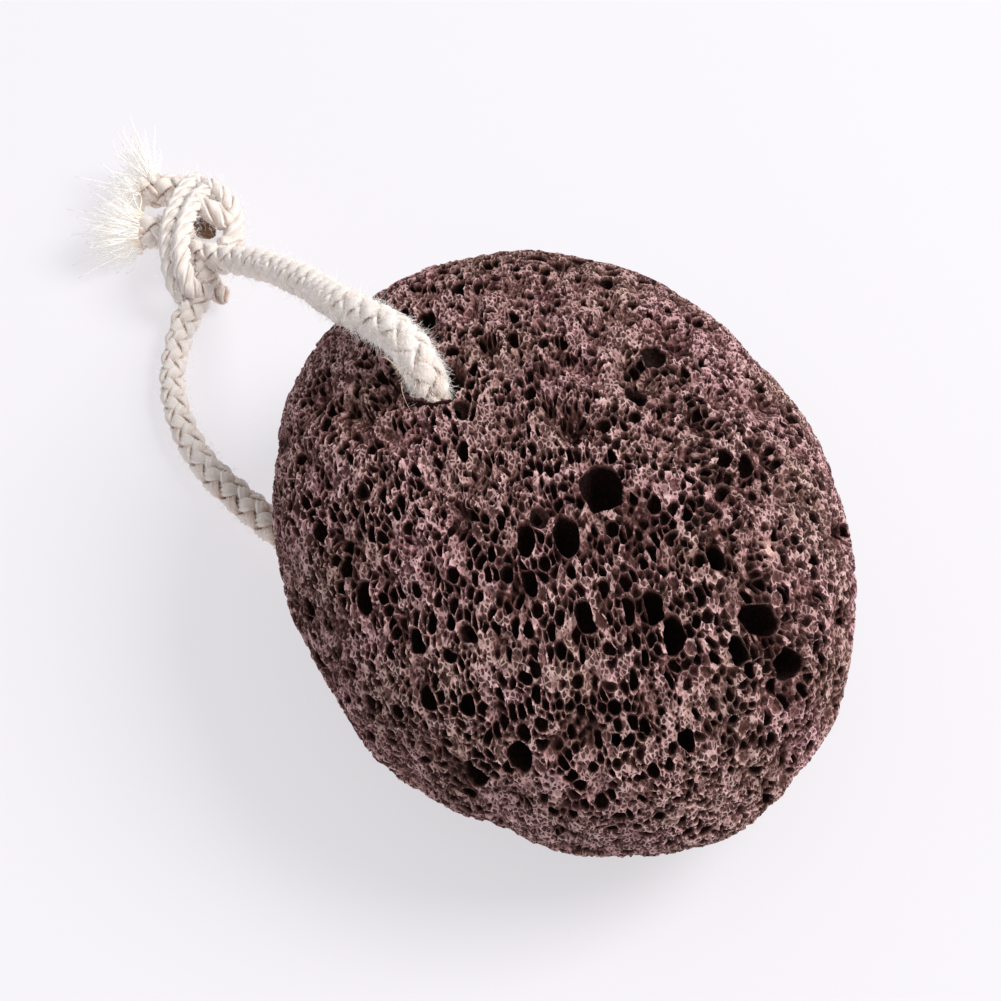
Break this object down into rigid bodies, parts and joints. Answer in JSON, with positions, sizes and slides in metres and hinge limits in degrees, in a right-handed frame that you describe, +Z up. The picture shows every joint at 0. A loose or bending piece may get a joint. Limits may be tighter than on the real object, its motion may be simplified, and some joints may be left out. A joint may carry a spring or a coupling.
{
  "type": "pumice stone",
  "caption": "Foot-care stone of dark porous lava pumice with a hanging loop of braided cotton rope, its ends tied in a knot.",
  "frame": {"origin": "under the middle of the stone, on the surface it stands on", "axes": "+Z up, +X along the stone's length away from the end the rope leaves at"},
  "size_m": [0.1581, 0.0836, 0.0445],
  "materials": {
    "pumice": "matte",
    "cotton": "matte"
  },
  "bodies": {
    "root": {"stone": "pumice", "rope_loop": "cotton", "rope_knot": "cotton"}
  },
  "joints": []
}
